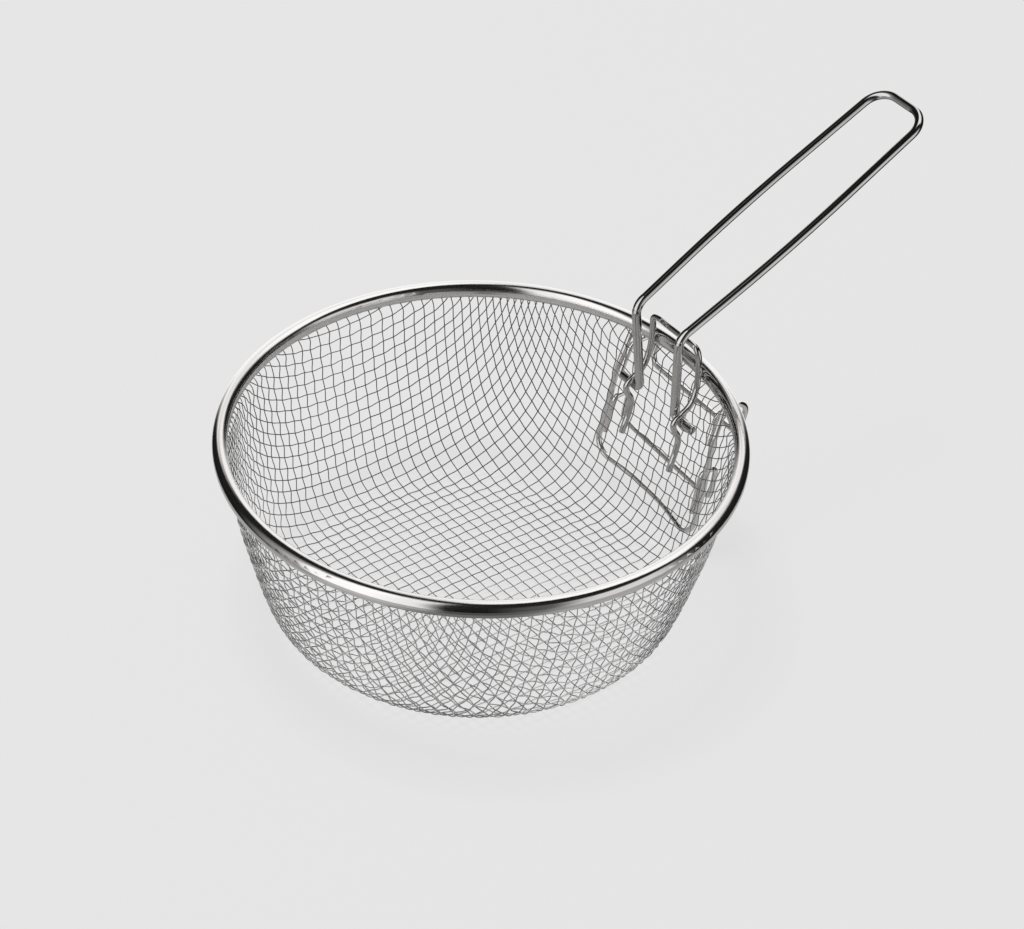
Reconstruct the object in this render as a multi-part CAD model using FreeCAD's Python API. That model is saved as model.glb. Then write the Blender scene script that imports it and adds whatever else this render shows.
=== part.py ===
import FreeCAD, Part
import math
import os

# Deep fryer basket: a round wire mesh bowl in a rolled rim, with a folding wire handle.
# Millimetres. The origin is the middle of the bowl's underside, +Z is up and +X points to the handle.
# A drop is a distance below the middle of the rim bead, and a rise is one above it.

# Bowl
bowl_depth = 81.5
mesh_thickness = 1.5
wall_top_inset = 11.1
wall_top_drop = 15.0
wall_lean_deg = 1.0
shoulder_lean_deg = 17.0
corner_radius = 19.1
flare_radius = 12.0
flare_turn_deg = 58.0
flare_length = 2.2

# Weave of the bowl: bars between windows, with a raised strand along each bar
column_count = 22
row_count = 4
wall_bar = 2.4
first_row_drop = 6.5
last_row_drop = 79.5
floor_pitch = 20.0
floor_bar = 2.4
floor_cells_across = 6
strand_width = 1.2
strand_height = 0.4

# Rim
rim_outer_radius = 110.0
rim_bead_width = 6.3
rim_bead_height = 7.5
rim_sheet = 0.8
rim_slot_gap = 0.1

# Handle
handle_wire = 4.0
pin_drop = 20.0
pin_reach = 24.0
pin_wall_gap = 0.3
pin_bend_radius = 3.2
leg_half_spacing = 11.9
neck_half_spacing = 14.6
neck_rise = 23.0
neck_setback = 2.7
neck_bend_radius = 7.0
belly_half_spacing = 17.4
belly_run = 55.0
belly_bend_radius = 900.0
grip_run = 128.8
grip_rise = 62.8
end_half_spacing = 15.0
end_bend_radius = 10.0

# Clip that holds the handle's pins
clip_wire = 2.8
clip_rim_gap = 0.05
clip_pin_gap = 0.15
clip_leg_gap = 1.0
clip_top_rise = 14.3
clip_top_half_spacing = 14.4
clip_top_lean = 0.8
clip_neck_drop = 2.0
clip_neck_half_spacing = 15.6
clip_heel_gap = 0.1
clip_toe_drop = 44.4
clip_toe_half_spacing = 16.4
clip_toe_gap = 4.6
clip_top_radius = 4.0
clip_bend_radius = 7.0
clip_heel_radius = 5.0
clip_heel_fall = 8.5

# Frame behind the mesh
frame_wire = 2.6
frame_half_spacing = 32.0
frame_hip_drop = 24.0
frame_knee_drop = 46.0
frame_bottom_drop = 69.0
frame_seat_half_width = 10.0
frame_spread = 2.0
frame_sway = 2.0
frame_tilt = 3.0
frame_top_shift = 1.7
frame_corner_radius = 8.0
frame_bend_radius = 60.0
frame_seat_gap = 0.3
rim_weld_gap = 0.6
weld_gap = 0.1

# Hooks that hang the basket on the edge of a pan
hook_wire = 2.5
upper_hook_end_drop = 25.0
upper_hook_top_drop = 10.8
upper_hook_reach = 16.9
upper_hook_bar_drop = 26.6
upper_hook_bar_reach = 16.9
upper_hook_radius = 5.0
lower_hook_end_drop = 58.0
lower_hook_top_drop = 39.0
lower_hook_reach = 8.0
lower_hook_bar_drop = 54.5
lower_hook_bar_reach = 8.6
lower_hook_radius = 3.2

# Places that follow from the sizes above
rim_height = bowl_depth + mesh_thickness / 2
bead_radius = rim_outer_radius - rim_bead_width / 2
rim_inner_radius = rim_outer_radius - rim_bead_width
wall_top_radius = rim_outer_radius - wall_top_inset
wall_lean = math.radians(wall_lean_deg)
shoulder_lean = math.radians(shoulder_lean_deg)
flare_turn = math.radians(flare_turn_deg)
shoulder_drop = bowl_depth - corner_radius * (1 - math.sin(shoulder_lean))
wall_curve_radius = (shoulder_drop - wall_top_drop) / (math.sin(shoulder_lean) - math.sin(wall_lean))


def at(radius, drop):
    return FreeCAD.Vector(radius, 0, rim_height - drop)


def lean_point(centre, radius, lean):
    return centre + FreeCAD.Vector(math.cos(lean), 0, -math.sin(lean)) * radius


# Centres of the arcs along the middle of the bowl's wall
def wall_arcs():
    top = at(wall_top_radius, wall_top_drop)
    wall_centre = lean_point(top, -wall_curve_radius, wall_lean)
    shoulder = lean_point(wall_centre, wall_curve_radius, shoulder_lean)
    corner_centre = lean_point(shoulder, -corner_radius, shoulder_lean)
    flare_centre = lean_point(top, flare_radius, wall_lean)
    return wall_centre, corner_centre, flare_centre


# One face line of the bowl, from the rim to the axis, moved outwards by offset
def wall_line(offset, flare_end=flare_length):
    wall_centre, corner_centre, flare_centre = wall_arcs()
    flare_lean = wall_lean + flare_turn
    flare_arc = flare_radius - offset
    flare_points = [
        lean_point(flare_centre, -flare_arc, flare_lean - flare_turn * part)
        for part in (0, 0.5, 1)
    ]
    rise = FreeCAD.Vector(math.sin(flare_lean), 0, math.cos(flare_lean))
    edge = flare_points[0] + rise * flare_end
    wall_radius = wall_curve_radius + offset
    middle_lean = (wall_lean + shoulder_lean) / 2
    wall_points = [
        lean_point(wall_centre, wall_radius, lean)
        for lean in (wall_lean, middle_lean, shoulder_lean)
    ]
    low_lean = (shoulder_lean + math.pi / 2) / 2
    corner_points = [
        lean_point(corner_centre, corner_radius + offset, lean)
        for lean in (shoulder_lean, low_lean, math.pi / 2)
    ]
    middle = FreeCAD.Vector(0, 0, corner_points[2].z)
    return [
        Part.LineSegment(edge, flare_points[0]).toShape(),
        Part.Arc(*flare_points).toShape(),
        Part.Arc(*wall_points).toShape(),
        Part.Arc(*corner_points).toShape(),
        Part.LineSegment(corner_points[2], middle).toShape(),
    ], edge, middle


def wall_section(inner, outer, flare_end=flare_length):
    outer_edges, outer_top, outer_middle = wall_line(outer, flare_end)
    inner_edges, inner_top, inner_middle = wall_line(inner, flare_end)
    ends = [
        Part.LineSegment(outer_middle, inner_middle).toShape(),
        Part.LineSegment(inner_top, outer_top).toShape(),
    ]
    edges = Part.__sortEdges__(outer_edges + inner_edges + ends)
    return Part.Face(Part.Wire(edges))


def turned(face, degrees=360):
    return face.revolve(FreeCAD.Vector(0, 0, 0), FreeCAD.Vector(0, 0, 1), degrees)


# Radius of the wall's face at a drop below the rim, for seating what touches the mesh
def wall_radius_at(drop, offset):
    wall_centre, corner_centre, flare_centre = wall_arcs()
    height = rim_height - drop
    if drop < wall_top_drop:
        return flare_centre.x - math.sqrt((flare_radius - offset) ** 2 - (height - flare_centre.z) ** 2)
    if drop < shoulder_drop:
        centre, radius = wall_centre, wall_curve_radius
    else:
        centre, radius = corner_centre, corner_radius
    return centre.x + math.sqrt((radius + offset) ** 2 - (height - centre.z) ** 2)


# The same at a place y to the side of the middle
def wall_x_at(drop, offset, y):
    return math.sqrt(wall_radius_at(drop, offset) ** 2 - y ** 2)


def wall_windows():
    pitch = (last_row_drop - first_row_drop) / row_count
    columns = []
    for row in range(row_count):
        top_drop = first_row_drop + row * pitch
        low = rim_height - top_drop - pitch + wall_bar / 2
        middle_radius = wall_radius_at(top_drop + pitch / 2, 0)
        width = 2 * math.pi * middle_radius / column_count - wall_bar
        corner = FreeCAD.Vector(middle_radius / 2, -width / 2, low)
        window = Part.makeBox(rim_outer_radius - middle_radius / 2, width, pitch - wall_bar, corner)
        for column in range(column_count):
            copy = window.copy()
            turn = (column + 0.5) * 360 / column_count
            copy.rotate(FreeCAD.Vector(0, 0, 0), FreeCAD.Vector(0, 0, 1), turn)
            columns.append(copy)
    return columns


def floor_cells():
    steps = [step - (floor_cells_across - 1) / 2 for step in range(floor_cells_across)]
    flat_radius = wall_arcs()[1].x
    cells = []
    for across in steps:
        for along in steps:
            reach = math.hypot(abs(across) + 0.5, abs(along) + 0.5) * floor_pitch
            if reach < flat_radius + floor_pitch / 2:
                cells.append((across * floor_pitch, along * floor_pitch))
    return cells


def floor_windows():
    size = floor_pitch - floor_bar
    return [
        Part.makeBox(size, size, 4 * mesh_thickness, FreeCAD.Vector(x - size / 2, y - size / 2, -mesh_thickness))
        for x, y in floor_cells()
    ]


# Raised strands: rings outside the wall, upright ones inside it, and a grid on the floor
def ring_strands():
    pitch = (last_row_drop - first_row_drop) / row_count
    rings = []
    for row in range(row_count):
        drop = first_row_drop + row * pitch
        radius = wall_radius_at(drop, mesh_thickness / 2)
        ring = Part.makeCylinder(
            radius + strand_height, strand_width, FreeCAD.Vector(0, 0, rim_height - drop - strand_width / 2)
        )
        core = Part.makeCylinder(
            radius - mesh_thickness / 2, strand_width, FreeCAD.Vector(0, 0, rim_height - drop - strand_width / 2)
        )
        rings.append(ring.cut(core))
    return rings


def upright_strands():
    band = wall_section(-mesh_thickness / 2 - strand_height, 0, flare_length / 3)
    turn = math.degrees(strand_width / wall_top_radius)
    strand = turned(band, turn)
    strand.rotate(FreeCAD.Vector(0, 0, 0), FreeCAD.Vector(0, 0, 1), -turn / 2)
    reach = wall_arcs()[1].x
    strand = strand.cut(Part.makeCylinder(reach, rim_height))
    strands = []
    for column in range(column_count):
        copy = strand.copy()
        copy.rotate(FreeCAD.Vector(0, 0, 0), FreeCAD.Vector(0, 0, 1), column * 360 / column_count)
        strands.append(copy)
    return strands


def floor_strands():
    flat_radius = wall_arcs()[1].x
    lines = [(line - floor_cells_across / 2) * floor_pitch for line in range(floor_cells_across + 1)]
    base = mesh_thickness / 2
    height = mesh_thickness / 2 + strand_height
    strands = []
    for place in [line for line in lines if abs(line) < flat_radius]:
        half = math.sqrt(flat_radius ** 2 - place ** 2)
        along = FreeCAD.Vector(-half, place - strand_width / 2, base)
        across = FreeCAD.Vector(place - strand_width / 2, -half, base)
        strands.append(Part.makeBox(2 * half, strand_width, height, along))
        strands.append(Part.makeBox(strand_width, 2 * half, height, across))
    return strands


def mesh_bowl():
    half = mesh_thickness / 2
    bowl = turned(wall_section(-half, half))
    bowl = bowl.fuse(ring_strands() + upright_strands() + floor_strands())
    bowl = bowl.cut(Part.makeCompound(wall_windows() + floor_windows()))
    return bowl.removeSplitter().Solids[0]


# Stadium outline of the rim bead, shrunk by inset on every side
def bead_outline(inset):
    radius = rim_bead_width / 2 - inset
    straight = (rim_bead_height - rim_bead_width) / 2
    high = at(bead_radius, -straight)
    low = at(bead_radius, straight)
    side = FreeCAD.Vector(radius, 0, 0)
    up = FreeCAD.Vector(0, 0, radius)
    edges = [
        Part.Arc(high - side, high + up, high + side).toShape(),
        Part.LineSegment(high + side, low + side).toShape(),
        Part.Arc(low + side, low - up, low - side).toShape(),
        Part.LineSegment(low - side, high - side).toShape(),
    ]
    return Part.Face(Part.Wire(edges))


# The rim is sheet rolled round the edge of the mesh, open in the slot where the mesh enters
def rim_ring():
    half_slot = mesh_thickness / 2 + rim_slot_gap
    channel = bead_outline(0).cut(bead_outline(rim_sheet))
    slot = wall_section(-half_slot, half_slot, flare_length + rim_slot_gap)
    return turned(channel.cut(slot).Faces[0])


# A bent wire: straight runs joined by tangent arcs, one radius for each inner corner
def bent_wire(points, radii, diameter):
    edges = []
    start = points[0]
    for corner, before, after, radius in zip(points[1:], points, points[2:], radii):
        back = (before - corner).normalize()
        ahead = (after - corner).normalize()
        half_angle = back.getAngle(ahead) / 2
        reach = radius / math.tan(half_angle)
        inwards = (back + ahead).normalize()
        middle = corner + inwards * (radius / math.sin(half_angle) - radius)
        arc_start = corner + back * reach
        arc_end = corner + ahead * reach
        edges.append(Part.LineSegment(start, arc_start).toShape())
        edges.append(Part.Arc(arc_start, middle, arc_end).toShape())
        start = arc_end
    edges.append(Part.LineSegment(start, points[-1]).toShape())
    path = Part.Wire(edges)
    direction = points[1] - points[0]
    circle = Part.Wire(Part.makeCircle(diameter / 2, points[0], direction))
    wire = path.makePipeShell([circle], True, False)
    if wire.Volume < 0:
        wire.reverse()
    return wire


# Points of one side, then the same points mirrored in the XZ plane in reverse order
def both_sides(points, radii):
    mirrored = [FreeCAD.Vector(point.x, -point.y, point.z) for point in reversed(points)]
    return points + mirrored, radii + list(reversed(radii))


def point_at(x, y, drop):
    return FreeCAD.Vector(x, y, rim_height - drop)


# The pins' axis: the outer ends of the pins stand just clear of the mesh
def pin_x():
    return wall_x_at(pin_drop, -mesh_thickness / 2, pin_reach) - handle_wire / 2 - pin_wall_gap


def handle():
    pin = pin_x()
    neck = pin - neck_setback
    share = belly_run / grip_run
    points = [
        point_at(pin, pin_reach, pin_drop),
        point_at(pin, leg_half_spacing, pin_drop),
        point_at(neck, neck_half_spacing, -neck_rise),
        point_at(neck + belly_run, belly_half_spacing, -neck_rise - grip_rise * share),
        point_at(neck + grip_run, end_half_spacing, -neck_rise - grip_rise),
    ]
    radii = [pin_bend_radius, neck_bend_radius, belly_bend_radius, end_bend_radius]
    return bent_wire(*both_sides(points, radii), handle_wire)


# Where two lines meet that start at the points above and below and touch a circle on its inner side
def wrap_corner(above, below, centre, radius):
    sides = []
    for point, sign in ((above, 1), (below, -1)):
        reach = centre - point
        lean = math.atan2(-reach.x, abs(reach.z)) + math.asin(radius / math.hypot(reach.x, reach.z))
        sides.append((point, math.tan(lean) * sign))
    (high, high_slope), (low, low_slope) = sides
    z = (low.x - high.x - low_slope * low.z + high_slope * high.z) / (high_slope - low_slope)
    return high.x + high_slope * (z - high.z), z


# The clip stands on the inside of the rim, and each leg bows round one pin of the handle
def handle_clip():
    at_rim = math.sqrt(rim_inner_radius ** 2 - clip_neck_half_spacing ** 2) - clip_wire / 2 - clip_rim_gap
    wrap_radius = (handle_wire + clip_wire) / 2 + clip_pin_gap
    waist_y = leg_half_spacing + (handle_wire + clip_wire) / 2 + clip_leg_gap
    inside = -mesh_thickness / 2 - strand_height
    half_wire = clip_wire / 2
    heel_drop = pin_drop + clip_heel_fall
    heel = wall_x_at(heel_drop, inside, waist_y + half_wire) - half_wire - clip_heel_gap
    toe = wall_x_at(clip_toe_drop, inside, clip_toe_half_spacing + half_wire) - half_wire - clip_toe_gap
    neck = point_at(at_rim, clip_neck_half_spacing, clip_neck_drop)
    heel_point = point_at(heel, waist_y, heel_drop)
    waist_x, waist_z = wrap_corner(neck, heel_point, at(pin_x(), pin_drop), wrap_radius)
    points = [
        point_at(toe, clip_toe_half_spacing, clip_toe_drop),
        heel_point,
        FreeCAD.Vector(waist_x, waist_y, waist_z),
        neck,
        point_at(at_rim - clip_top_lean, clip_top_half_spacing, -clip_top_rise),
    ]
    radii = [clip_heel_radius, wrap_radius, clip_bend_radius, clip_top_radius]
    return bent_wire(*both_sides(points, radii), clip_wire)


# The frame is welded on by hand: towards its bottom it spreads, sways to one side and tilts
def frame_place(x, y, drop):
    share = (drop - rim_bead_height / 2) / (frame_bottom_drop - rim_bead_height / 2)
    side = y / frame_half_spacing
    return point_at(x, y + share * (frame_spread * side + frame_sway), drop - share * frame_tilt * side)


# Drops along one side of the frame, with how far out the wire lies to clear rim and mesh
def frame_knots(side):
    outside = mesh_thickness / 2 + strand_height
    stand_off = frame_wire / 2 + frame_seat_gap
    hook_side = frame_half_spacing - frame_wire - hook_wire - weld_gap
    corner_side = frame_half_spacing - frame_corner_radius
    top_drop = rim_bead_height / 2 + rim_weld_gap
    knots = [(top_drop, math.sqrt((bead_radius + frame_top_shift) ** 2 - frame_half_spacing ** 2))]
    seats = ((frame_hip_drop, hook_side), (frame_knee_drop, hook_side), (frame_bottom_drop, corner_side))
    for drop, seat_y in seats:
        place = frame_place(0, side * seat_y, drop)
        knots.append((drop, wall_x_at(rim_height - place.z, outside, place.y) + stand_off))
    return knots


def frame_x(drop, side):
    knots = frame_knots(side)
    for (high, x_high), (low, x_low) in zip(knots, knots[1:]):
        if drop <= low:
            return x_high + (x_low - x_high) * (drop - high) / (low - high)


def outer_frame():
    outside = mesh_thickness / 2 + strand_height
    halves = []
    for side in (1, -1):
        half = [frame_place(x, side * frame_half_spacing, drop) for drop, x in frame_knots(side)]
        seat = frame_place(0, side * frame_seat_half_width, frame_bottom_drop)
        near = frame_place(0, 0, frame_bottom_drop)
        seat.x = wall_x_at(rim_height - near.z, outside, near.y) + frame_wire / 2 + weld_gap
        halves.append(half + [seat])
    radii = [frame_bend_radius, frame_bend_radius, frame_corner_radius, frame_bend_radius]
    return bent_wire(halves[0] + halves[1][::-1], radii + radii[::-1], frame_wire)


# A pan hook lies along the frame's inner side, turns over outwards and carries a bar across
def pan_hook(end_drop, top_drop, reach, bar_drop, bar_reach, radius):
    inner = frame_half_spacing - (frame_wire + hook_wire) / 2 - weld_gap
    halves = []
    for side in (1, -1):
        y = side * inner
        halves.append([
            frame_place(frame_x(end_drop, side), y, end_drop),
            frame_place(frame_x(top_drop, side), y, top_drop),
            frame_place(frame_x(top_drop, side) + reach, y, top_drop),
            frame_place(frame_x(bar_drop, side) + bar_reach, y, bar_drop),
        ])
    return bent_wire(halves[0] + halves[1][::-1], [radius] * 6, hook_wire)


def upper_hook():
    return pan_hook(
        upper_hook_end_drop, upper_hook_top_drop, upper_hook_reach,
        upper_hook_bar_drop, upper_hook_bar_reach, upper_hook_radius
    )


def lower_hook():
    return pan_hook(
        lower_hook_end_drop, lower_hook_top_drop, lower_hook_reach,
        lower_hook_bar_drop, lower_hook_bar_reach, lower_hook_radius
    )


os.makedirs("parts", exist_ok=True)
pieces = {
    "mesh_bowl": mesh_bowl(),
    "rim_ring": rim_ring(),
    "handle": handle(),
    "handle_clip": handle_clip(),
    "outer_frame": outer_frame(),
    "upper_hook": upper_hook(),
    "lower_hook": lower_hook(),
}
for name, shape in pieces.items():
    shape.exportStep("parts/" + name + ".step")
    box = shape.BoundBox
    print(name, shape.ShapeType, "solids", len(shape.Solids), "valid", shape.isValid(),
          "volume", round(shape.Volume), "box", [round(value, 1) for value in
          (box.XMin, box.XMax, box.YMin, box.YMax, box.ZMin, box.ZMax)])
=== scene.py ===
import math

import bmesh
import bpy
from mathutils import Matrix, Vector


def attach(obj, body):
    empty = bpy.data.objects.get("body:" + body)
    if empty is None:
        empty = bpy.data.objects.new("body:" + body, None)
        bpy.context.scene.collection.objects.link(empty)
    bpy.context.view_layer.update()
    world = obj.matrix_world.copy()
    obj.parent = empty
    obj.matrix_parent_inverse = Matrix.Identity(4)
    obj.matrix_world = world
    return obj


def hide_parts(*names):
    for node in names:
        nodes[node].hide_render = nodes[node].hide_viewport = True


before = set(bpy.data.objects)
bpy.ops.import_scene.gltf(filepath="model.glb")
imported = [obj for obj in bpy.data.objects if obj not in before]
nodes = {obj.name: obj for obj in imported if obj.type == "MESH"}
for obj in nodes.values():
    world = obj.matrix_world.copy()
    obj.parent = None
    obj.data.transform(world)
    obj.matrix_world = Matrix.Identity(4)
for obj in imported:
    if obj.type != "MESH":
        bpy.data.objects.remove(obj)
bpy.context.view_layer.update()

mm = 0.001


# Shader sockets that can be added, multiplied and compared in plain expressions

class Value:
    def __init__(self, tree, socket):
        self.tree, self.socket = tree, socket

    def combine(self, operation, first, second):
        return self.tree.add("ShaderNodeMath", {"operation": operation}, {0: first, 1: second})

    def __add__(self, other):
        return self.combine("ADD", self, other)

    def __radd__(self, other):
        return self.combine("ADD", other, self)

    def __sub__(self, other):
        return self.combine("SUBTRACT", self, other)

    def __rsub__(self, other):
        return self.combine("SUBTRACT", other, self)

    def __mul__(self, other):
        return self.combine("MULTIPLY", self, other)

    def __rmul__(self, other):
        return self.combine("MULTIPLY", other, self)

    # 0 below the start, 1 above the end, and a smooth climb in between
    def climb(self, start, end):
        return self.tree.add("ShaderNodeMapRange", {"interpolation_type": "SMOOTHSTEP"},
                             {"Value": self, "From Min": start, "From Max": end})


class NodeTree:
    def __init__(self, owner):
        owner.use_nodes = True
        self.nodes, self.links = owner.node_tree.nodes, owner.node_tree.links
        self.nodes.clear()

    def fill(self, socket, value):
        if isinstance(value, Value):
            self.links.new(value.socket, socket)
        else:
            socket.default_value = value

    def add(self, kind, settings=None, inputs=None, output=0):
        node = self.nodes.new(kind)
        for name, setting in (settings or {}).items():
            setattr(node, name, setting)
        for key, value in (inputs or {}).items():
            self.fill(node.inputs[key], value)
        return Value(self, node.outputs[output])

    # A Mix node's colours are its inputs 6 and 7 and its output 2
    def mixColor(self, share, first, second):
        colors = {"Factor": share, 6: first, 7: second}
        return self.add("ShaderNodeMix", {"data_type": "RGBA"}, colors, output=2)

    def surface(self, shader, kind="ShaderNodeOutputMaterial"):
        output = self.nodes.new(kind)
        self.links.new(shader.socket, output.inputs["Surface"])


def rgba(color):
    return (*color, 1)


def grey(level):
    return rgba([level] * 3)


# Bright steel. Soft clouds turn its colour to the tint and roughen it, and fine grain gives it a slight
# relief. The woven wires are paler on the bowl's outside: a painted sheen on the side that faces away from
# its axis.

rimFinish = {
    "color": (0.74, 0.73, 0.72), "tint": (0.66, 0.645, 0.63),
    "roughness": 0.1, "roughSpread": 0.08, "grainScale": 900.0, "bump": 0.03,
}
wireFinish = {
    "color": (0.62, 0.612, 0.604), "tint": (0.48, 0.472, 0.464),
    "roughness": 0.06, "roughSpread": 0.08, "grainScale": 700.0, "bump": 0.04,
}
frameFinish = {
    "color": (0.78, 0.77, 0.76), "tint": (0.66, 0.65, 0.64),
    "roughness": 0.04, "roughSpread": 0.06, "grainScale": 700.0, "bump": 0.04,
}
meshFinish = {
    # Painted sheen: the woven wires' outward-facing side takes the paler third colour
    "color": (0.22, 0.218, 0.215), "tint": (0.12, 0.119, 0.117), "outside": (0.82, 0.815, 0.81),
    "roughness": 0.05, "roughSpread": 0.08, "grainScale": 500.0, "bump": 0.05,
}
steelGrain = {
    "cloudScale": 45.0,
    "cloudDetail": 3.0,
    "grainDetail": 2.0,
    "bumpDistance": 0.2 * mm,
    # Width of the passage into the painted sheen on the woven wires' outward side
    "outsideBlend": 0.3,         # how softly the inside's colour passes into the outside's
}


# 0 where a surface faces the bowl's axis, 1 where it faces away from it: the mask of the painted sheen
def paintedSheenMask(tree, place):
    level = tree.add("ShaderNodeVectorMath", {"operation": "MULTIPLY"}, {0: place, 1: (1, 1, 0)})
    ray = tree.add("ShaderNodeVectorMath", {"operation": "NORMALIZE"}, {0: level})
    normal = tree.add("ShaderNodeTexCoord", output="Normal")
    dot = {"operation": "DOT_PRODUCT"}
    facing = tree.add("ShaderNodeVectorMath", dot, {0: ray, 1: normal}, output="Value")
    return facing.climb(-steelGrain["outsideBlend"], steelGrain["outsideBlend"])


def metal(name, finish):
    material = bpy.data.materials.new(name)
    tree = NodeTree(material)
    place = tree.add("ShaderNodeTexCoord", output="Object")
    clouds = tree.add("ShaderNodeTexNoise", None, {
        "Vector": place, "Scale": steelGrain["cloudScale"], "Detail": steelGrain["cloudDetail"]})
    grain = tree.add("ShaderNodeTexNoise", None, {
        "Vector": place, "Scale": finish["grainScale"], "Detail": steelGrain["grainDetail"]})
    color = tree.mixColor(clouds, rgba(finish["color"]), rgba(finish["tint"]))
    # Painted sheen: surfaces that face away from the bowl's axis take the paler colour
    if "outside" in finish:
        color = tree.mixColor(paintedSheenMask(tree, place), color, rgba(finish["outside"]))
    roughness = finish["roughness"] + finish["roughSpread"] * (clouds * grain)
    bump = tree.add("ShaderNodeBump", None, {
        "Strength": finish["bump"], "Distance": steelGrain["bumpDistance"], "Height": grain})
    shader = tree.add("ShaderNodeBsdfPrincipled", None, {
        "Base Color": color, "Metallic": 1.0, "Roughness": roughness, "Normal": bump})
    tree.surface(shader)
    return material


def dress(node, material):
    mesh = nodes[node].data
    mesh.materials.clear()
    mesh.materials.append(material)


polishedRim = metal("polishedRim", rimFinish)
polishedWire = metal("polishedWire", wireFinish)
frameMetal = metal("frameWire", frameFinish)
wovenWire = metal("wovenWire", meshFinish)
dress("rim_ring", polishedRim)
dress("handle", polishedWire)
for wireNode in ("outer_frame", "upper_hook", "lower_hook"):
    dress(wireNode, frameMetal)
print("metals done")


# The bowl's shape along one meridian, from the middle of the floor up to the rim

bowl = {
    "floorHeight": 0.75 * mm,
    "floorRadius": 71.9 * mm,
    "floorDome": 1.3 * mm,       # how far the woven floor stands up in its middle
    "cornerRadius": 17.5 * mm,
    "shoulderLean": 20.0,        # the wall's lean above the corner, in degrees from upright
    "wallCurve": 215.6 * mm,
    "topLean": 3.0,              # and its lean below the rim
    "flareRadius": 3.5 * mm,
    "flareTurn": 50.0,           # how far the edge turns outwards into the rim, in degrees
    "flareEnd": 3.6 * mm,
    "rimHeight": 82.25 * mm,     # height of the rim's middle
    "wallTopDrop": 7.5 * mm,     # the wall's top, below the rim's middle
    "topSpread": 2.7 * mm,       # the wall's top reaches out to the rim, but not at the frame
    "spreadHeight": 40.0 * mm,   # how far below the wall's top the spread starts
    "frameSide": (19.0, 31.0),   # degrees beside the handle where the spread starts and is full
    "sway": (-1.3 * mm, 0.95 * mm, 0),   # the pressed bowl hangs a little to one side of the rim
}


def limited(share):
    return min(1.0, max(0.0, share))


def bowlMeridian():
    flat, shoulder = math.pi / 2, math.radians(bowl["shoulderLean"])
    top, flare = math.radians(bowl["topLean"]), math.radians(bowl["flareTurn"])
    # A straight stretch has no radius and a length, and a round one a radius and an angle
    turns = (
        (None, bowl["floorRadius"]),
        (bowl["cornerRadius"], flat - shoulder),
        (bowl["wallCurve"], shoulder - top),
        (-bowl["flareRadius"], -flare),
        (None, bowl["flareEnd"]),
    )
    stretches, reach = [], 0.0
    place, lean = Vector((0, 0, bowl["floorHeight"])), flat
    for radius, amount in turns:
        length = amount if radius is None else radius * amount
        stretches.append((reach, place, lean, radius))
        place, lean = alongStretch(length, place, lean, radius)
        reach += length
    return stretches, reach


# A step along a straight or round stretch: the lean is the angle between the way ahead and upright
def alongStretch(length, place, lean, radius):
    if radius is None:
        return place + Vector((math.sin(lean), 0, math.cos(lean))) * length, lean
    turned = lean - length / radius
    side = Vector((math.cos(turned) - math.cos(lean), 0, math.sin(lean) - math.sin(turned)))
    return place + side * radius, turned


meridianStretches, meridianLength = bowlMeridian()


# The place and the lean at a distance along the meridian
def meridianPoint(reach):
    for start, place, lean, radius in reversed(meridianStretches):
        if reach >= start:
            return alongStretch(reach - start, place, lean, radius)


# The woven wires. Each wire keeps its distance to the next one where it runs straight up the wall,
# and in between the squares lean over into long diamonds, as in mesh that is pressed from a flat disc.

weave = {
    "pitch": 5.15 * mm,
    "wire": 0.48 * mm,
    "crimp": 0.36 * mm,           # how far a wire swings over and under the others
    "floorCrimp": 0.45,           # share of it on the floor, where the mesh is pressed flat
    "crimpGrowth": (0.8, 1.2),    # where it grows to its full swing, in floor radii from the middle
    "steps": 5,                   # points on a wire from one crossing to the next
    "alongShift": 0.5,            # place of the first wire beside the middle, in pitches
    "acrossShift": 0.0,
    "wallStretch": 0.016,         # how much the pressing lengthens the mesh up the wall
    "diamondStart": 86.0 * mm,    # from the middle of the flat mesh
    "diamondStretch": 4.4,        # how much longer the diamonds are drawn, per metre
    "squeezeStart": 94.0 * mm,
    "squeeze": 8.5,               # how much closer their wires lie, per metre
    "roundness": 1,               # bevel resolution, 1 gives a wire with six sides
}
wiresEachSide = math.ceil(meridianLength / weave["pitch"])    # enough to pass the rim


# How far the wall is spread outwards: most at its top, with a smooth passage beside the frame
def wallSpread(azimuth, height):
    wallTop = bowl["rimHeight"] - bowl["wallTopDrop"]
    high = limited(1 - (wallTop - height) / bowl["spreadHeight"])
    start, full = bowl["frameSide"]
    beside = limited((abs(math.degrees(azimuth)) - start) / (full - start))
    return bowl["topSpread"] * high * beside * beside * (3 - 2 * beside)


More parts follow.
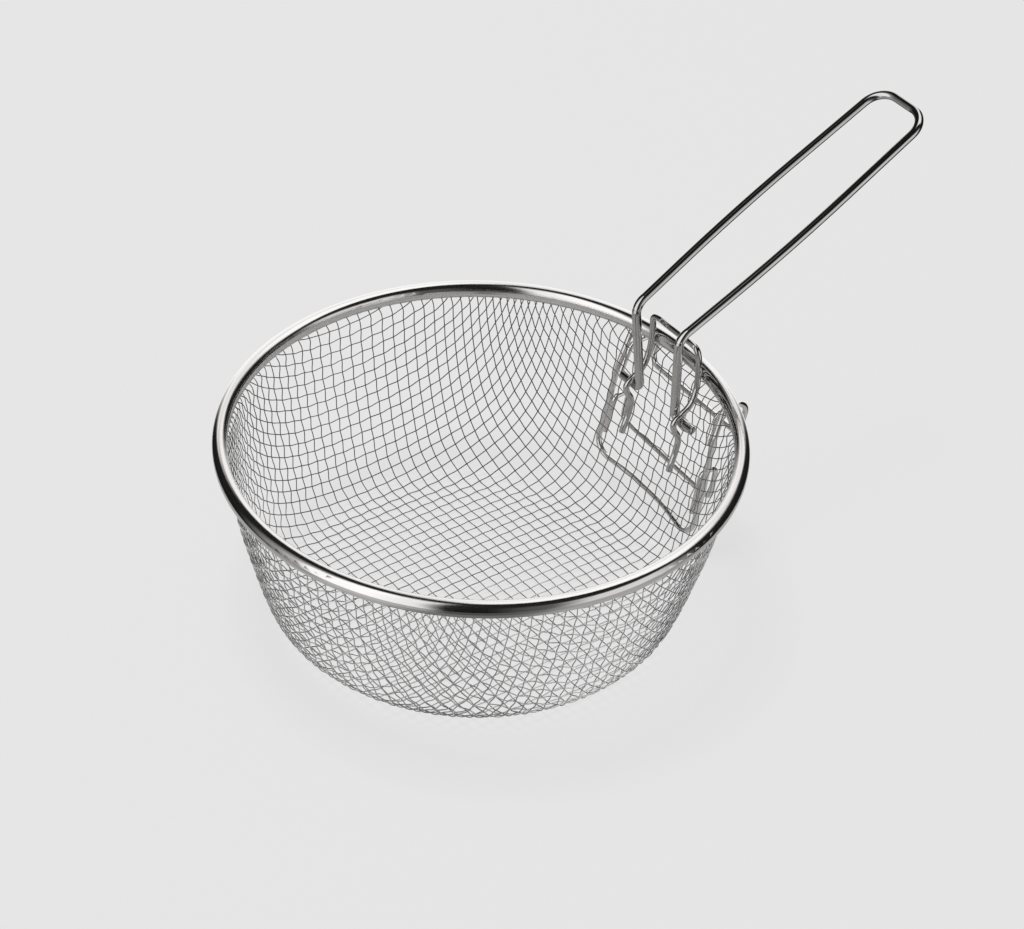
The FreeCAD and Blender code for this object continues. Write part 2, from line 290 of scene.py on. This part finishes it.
# Where a point of the flat mesh comes to lie on the pressed bowl, or nothing past its edge. The lift is its
# distance outside the wall. The two sines keep the wires apart on the four sides, where the azimuth grows
# with the spread, and draw them together on the four diagonals, where it grows with the squeeze.
def drawnPlace(u, v, lift):
    flatReach, turn = math.hypot(u, v), math.atan2(v, u)
    start, full = weave["crimpGrowth"]
    grown = limited((flatReach / bowl["floorRadius"] - start) / (full - start))
    lift *= weave["floorCrimp"] + (1 - weave["floorCrimp"]) * grown
    diagonal = math.sin(2 * turn) ** 2
    reach = flatReach + weave["wallStretch"] * max(0.0, flatReach - bowl["floorRadius"])
    reach += weave["diamondStretch"] * max(0.0, flatReach - weave["diamondStart"]) ** 2 * diagonal
    if reach > meridianLength:
        return None
    place, lean = meridianPoint(reach)
    spread = max(1.0, flatReach / place.x) if place.x > 0 else 1.0
    squeeze = 1 - weave["squeeze"] * max(0.0, flatReach - weave["squeezeStart"])
    first, second = (spread - squeeze) / 2, (spread + squeeze) / 2 - 1
    azimuth = turn + first * math.sin(4 * turn) / 4 + second * math.sin(8 * turn) / 8
    outwards = place.x + lift * math.cos(lean) + wallSpread(azimuth, place.z)
    dome = bowl["floorDome"] * max(0.0, 1 - (place.x / bowl["floorRadius"]) ** 2)
    height = place.z - lift * math.sin(lean) + dome
    sway = Vector(bowl["sway"]) * (1 - place.z / bowl["rimHeight"])
    return Vector((outwards * math.cos(azimuth), outwards * math.sin(azimuth), height)) + sway


# Points of one wire, which passes over and under the wires that cross it
def wirePoints(index, shift, crossingShift, swapped):
    pitch, steps = weave["pitch"], weave["steps"]
    offset = (index + shift) * pitch
    points = []
    for step in range(-wiresEachSide * steps, wiresEachSide * steps + 1):
        along = step * pitch / steps
        phase = math.pi * (along / pitch - crossingShift + index)
        lift = weave["crimp"] * math.cos(phase) * (-1 if swapped else 1)
        place = drawnPlace(along, offset, lift) if swapped else drawnPlace(offset, along, lift)
        if place:
            points.append(place)
    return points


def roundWire(name, diameter, roundness):
    curve = bpy.data.curves.new(name, "CURVE")
    curve.dimensions = "3D"
    curve.bevel_depth = diameter / 2
    curve.bevel_resolution = roundness
    curve.use_fill_caps = True
    return curve


# The finished piece of a curve, as a mesh at the origin
def routedPiece(name, curve, material):
    drawn = bpy.data.objects.new(name + "_route", curve)
    bpy.context.scene.collection.objects.link(drawn)
    bpy.context.view_layer.update()
    mesh = bpy.data.meshes.new_from_object(drawn.evaluated_get(bpy.context.evaluated_depsgraph_get()))
    mesh.materials.append(material)
    bpy.data.objects.remove(drawn)
    piece = bpy.data.objects.new(name, mesh)
    bpy.context.scene.collection.objects.link(piece)
    return piece


# All the wires that run one way
def wireNet(name, shift, crossingShift, swapped):
    curve = roundWire(name, weave["wire"], weave["roundness"])
    for index in range(-wiresEachSide, wiresEachSide + 1):
        points = wirePoints(index, shift, crossingShift, swapped)
        if len(points) > 2:      # the outermost ones miss the bowl
            spline = curve.splines.new("POLY")
            spline.points.add(len(points) - 1)
            spline.points.foreach_set("co", [value for point in points for value in (*point, 1)])
            spline.use_smooth = True
    return routedPiece(name, curve, wovenWire)


for netName, shift, crossingShift, swapped in (
        ("mesh_wires_along", weave["alongShift"], weave["acrossShift"], True),
        ("mesh_wires_across", weave["acrossShift"], weave["alongShift"], False)):
    net = wireNet(netName, shift, crossingShift, swapped)
    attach(net, "basket")
    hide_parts("mesh_bowl")
    print(netName, len(net.data.polygons), "faces")


# The clip that holds the handle's pins: it comes down close behind the rim before it bends round each pin.
# The places run from the middle of the upper loop down one side: (x, y, drop below the rim's middle) in mm.

clip = {
    "wire": 2.8 * mm,
    "places": (
        (100.25, 0, -14.3), (100.25, 6, -14.3), (100.25, 11.6, -14.3), (100.28, 13.6, -13.8),
        (100.4, 14.9, -12.5), (100.6, 15.4, -10.8), (100.9, 15.6, -8), (101.0, 15.7, -4.5),
        (100.95, 15.8, -1.4), (100.0, 16.2, 6.5), (97.2, 16.3, 13.2), (92.9, 16.3, 16.4),
        (89.1, 16.3, 19.3), (89.0, 16.3, 22), (91.9, 16.3, 28.5), (91.0, 16.3, 35),
        (89.2, 16.35, 40.4), (88.0, 16.4, 44.4),
    ),
    "stepsBetween": 10,           # points on the curve from one place to the next
    "roundness": 5,
}


# A wire that bends smoothly through its places
def bentWire(name, places, material):
    curve = roundWire(name, clip["wire"], clip["roundness"])
    curve.resolution_u = clip["stepsBetween"]
    spline = curve.splines.new("BEZIER")
    spline.bezier_points.add(len(places) - 1)
    for point, place in zip(spline.bezier_points, places):
        point.co = place
        point.handle_left_type = point.handle_right_type = "AUTO"
    return routedPiece(name, curve, material)


clipSide = [Vector((x * mm, y * mm, bowl["rimHeight"] - drop * mm)) for x, y, drop in clip["places"]]
clipOther = [Vector((place.x, -place.y, place.z)) for place in reversed(clipSide[1:])]
bentClip = bentWire("clip_wire", clipOther + clipSide, polishedWire)
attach(bentClip, "basket")
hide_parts("handle_clip")
print("clip", len(bentClip.data.polygons), "faces")


# Studio: a pale floor and sky. Metal sees a dark room with soft white panels round it.
# A panel is (azimuth, half width, softness, elevation, half height, softness, level), its angles in degrees.

studio = {
    "paper": 0.79,               # linear grey of the floor and the backdrop
    "floorGlow": 0.85,           # share of the floor's colour that needs no light
    "floorSize": 30.0,
    "tableRadius": 0.205,        # what the metal sees of the floor
    "tableEdge": 0.03,           # half width of its soft edge
    "tableSides": 96,
    "tableLevel": 0.5,
    # The table's darkening towards the camera is a painted shadow
    "paintedTableShadow": (232, 22, 12, 0.2),    # darker towards the camera: azimuth, half width, softness, level
    "room": 0.012,               # level of the dark room between the panels
    "brightest": 1.4,            # where panels overlap
    "panels": (
        (188, 27, 6, 14, 56, 12, 1.2),
        (166, 22, 18, 20, 50, 14, 0.5),
        (-68, 21, 11, -8, 32, 8, 0.9),
        (-100, 14, 10, -8, 38, 14, 0.1),
        (54, 28, 8, -5, 43, 7, 1.25),
        (16, 44, 9, 62, 22, 10, 1.4),
    ),
    "skyShare": 0.45,            # share of the sky's light that falls on the floor
    "lampPower": 104,
    "lampSize": 1.3,
    "lampPlace": (-0.4, 0.6, 4.0),
}


# For rays that show the background, part of the floor's colour is its own glow, and the rest keeps the shadow
def paperMaterial():
    material = bpy.data.materials.new("palePaper")
    tree = NodeTree(material)
    seen = tree.add("ShaderNodeLightPath", output="Is Camera Ray")
    for kind in ("Is Glossy Ray", "Is Transmission Ray"):
        kindRay = tree.add("ShaderNodeLightPath", output=kind)
        seen = tree.add("ShaderNodeMath", {"operation": "MAXIMUM"}, {0: seen, 1: kindRay})
    lit = tree.add("ShaderNodeBsdfDiffuse", None, {"Color": grey(studio["paper"])})
    shine = tree.add("ShaderNodeEmission", None, {"Color": grey(studio["paper"]), "Strength": 1.0})
    tree.surface(tree.add("ShaderNodeMixShader", None, {0: seen * studio["floorGlow"], 1: lit, 2: shine}))
    return material


def stageSheet(name, shape, material):
    mesh = bpy.data.meshes.new(name)
    shape.to_mesh(mesh)
    shape.free()
    mesh.materials.append(material)
    sheet = bpy.data.objects.new(name, mesh)
    bpy.context.scene.collection.objects.link(sheet)
    return sheet


# 1 within the half width of an azimuth, seen from the middle, and 0 outside
def wedge(tree, x, y, azimuth, halfWidth, softness):
    turn = math.radians(azimuth)
    ahead = x * math.cos(turn) + y * math.sin(turn)
    beside = y * math.cos(turn) - x * math.sin(turn)
    away = tree.add("ShaderNodeMath", {"operation": "ARCTAN2"}, {0: beside, 1: ahead})
    away = tree.add("ShaderNodeMath", {"operation": "ABSOLUTE"}, {0: away})
    return 1 - away.climb(math.radians(halfWidth - softness), math.radians(halfWidth + softness))


# What the metal sees of the floor: a glowing paler table with a painted shadow that darkens it towards the
# camera, and that ends softly
def tableMaterial():
    material = bpy.data.materials.new("tablePaper")
    tree = NodeTree(material)
    place = tree.add("ShaderNodeTexCoord", output="Object")
    x, y = (tree.add("ShaderNodeSeparateXYZ", None, {"Vector": place}, output=axis) for axis in "XY")
    azimuth, halfWidth, softness, dark = studio["paintedTableShadow"]
    # Painted shadow: the table's glow darkens within this wedge towards the camera
    paintedShadow = wedge(tree, x, y, azimuth, halfWidth, softness)
    color = tree.mixColor(paintedShadow, grey(studio["tableLevel"]), grey(dark))
    shine = tree.add("ShaderNodeEmission", None, {"Color": color, "Strength": 1.0})
    clear = tree.add("ShaderNodeBsdfTransparent")
    reach = tree.add("ShaderNodeVectorMath", {"operation": "LENGTH"}, {0: place}, output="Value")
    radius, edge = studio["tableRadius"], studio["tableEdge"]
    ending = reach.climb(radius - edge, radius + edge)
    tree.surface(tree.add("ShaderNodeMixShader", None, {0: ending, 1: shine, 2: clear}))
    return material


def floorSheets():
    shape = bmesh.new()
    bmesh.ops.create_grid(shape, x_segments=1, y_segments=1, size=studio["floorSize"] / 2)
    floor = stageSheet("floorPaper", shape, paperMaterial())
    floor.visible_glossy = False
    shape = bmesh.new()
    radius = studio["tableRadius"] + studio["tableEdge"]
    bmesh.ops.create_circle(shape, cap_ends=True, segments=studio["tableSides"], radius=radius)
    table = stageSheet("tablePaper", shape, tableMaterial())
    table.visible_camera = table.visible_diffuse = table.visible_shadow = False


# The light of one panel, by the direction that metal looks in
def panelLight(tree, x, y, elevation, panel):
    azimuth, halfWidth, sideSoftness, height, halfHeight, topSoftness, level = panel
    across = wedge(tree, x, y, azimuth, halfWidth, sideSoftness)
    above = tree.add("ShaderNodeMath", {"operation": "ABSOLUTE"}, {0: elevation - math.radians(height)})
    along = 1 - above.climb(math.radians(halfHeight - topSoftness), math.radians(halfHeight + topSoftness))
    return across * along * level


# An even pale sky for the camera and the floor, and the panels for the metal
def skyWorld():
    world = bpy.data.worlds.new("paleSky")
    bpy.context.scene.world = world
    tree = NodeTree(world)
    direction = tree.add("ShaderNodeTexCoord", output="Generated")
    x, y, z = (tree.add("ShaderNodeSeparateXYZ", None, {"Vector": direction}, output=axis) for axis in "XYZ")
    elevation = tree.add("ShaderNodeMath", {"operation": "ARCSINE"}, {0: z})
    light = studio["room"]
    for panel in studio["panels"]:
        light = light + panelLight(tree, x, y, elevation, panel)
    light = tree.add("ShaderNodeMath", {"operation": "MINIMUM"}, {0: light, 1: studio["brightest"]})
    glossy = tree.add("ShaderNodeLightPath", output="Is Glossy Ray")
    diffuse = tree.add("ShaderNodeLightPath", output="Is Diffuse Ray")
    paper = tree.add("ShaderNodeBackground", None, {
        "Color": grey(studio["paper"]), "Strength": 1 - diffuse * (1 - studio["skyShare"])})
    panels = tree.add("ShaderNodeBackground", None, {"Color": grey(1.0), "Strength": light})
    sky = tree.add("ShaderNodeMixShader", None, {0: glossy, 1: paper, 2: panels})
    tree.surface(sky, "ShaderNodeOutputWorld")


def topLamp():
    lamp = bpy.data.lights.new("topLamp", "AREA")
    lamp.size = studio["lampSize"]
    lamp.energy = studio["lampPower"]
    holder = bpy.data.objects.new("topLamp", lamp)
    holder.location = studio["lampPlace"]
    holder.rotation_euler = Vector(studio["lampPlace"]).to_track_quat("Z", "Y").to_euler()
    holder.visible_camera = holder.visible_glossy = False
    bpy.context.scene.collection.objects.link(holder)


floorSheets()
skyWorld()
topLamp()
print("studio done")


# Camera, from the photograph: the rim's ellipse gives its place

cameraView = {
    "target": (6.6 * mm, -12.6 * mm, 74.6 * mm),
    "distance": 1.433,
    "heading": 37.5,             # degrees clockwise from +Y, seen from above
    "elevation": 38.08,
    "roll": 2.16,
    "focalPixels": 3500,
    "imageWidth": 1024,
    "sensor": 36.0,
    "farEnd": 100.0,
}


def addCamera():
    camera = bpy.data.cameras.new("photoCamera")
    camera.sensor_width = cameraView["sensor"]
    camera.sensor_fit = "HORIZONTAL"
    camera.lens = cameraView["focalPixels"] / cameraView["imageWidth"] * cameraView["sensor"]
    camera.clip_end = cameraView["farEnd"]
    heading, fall, roll = (math.radians(cameraView[name]) for name in ("heading", "elevation", "roll"))
    ahead = Vector((math.sin(heading) * math.cos(fall), math.cos(heading) * math.cos(fall), -math.sin(fall)))
    level = Vector((math.cos(heading), -math.sin(heading), 0))
    up = level.cross(ahead)
    right = level * math.cos(roll) + up * math.sin(roll)
    top = up * math.cos(roll) - level * math.sin(roll)
    place = Vector(cameraView["target"]) - ahead * cameraView["distance"]
    turn = Matrix((right, top, -ahead)).transposed().to_4x4()
    holder = bpy.data.objects.new("photoCamera", camera)
    holder.matrix_world = Matrix.Translation(place) @ turn
    bpy.context.scene.collection.objects.link(holder)
    bpy.context.scene.camera = holder


addCamera()
bpy.context.scene.view_settings.view_transform = "Standard"
print("camera done")
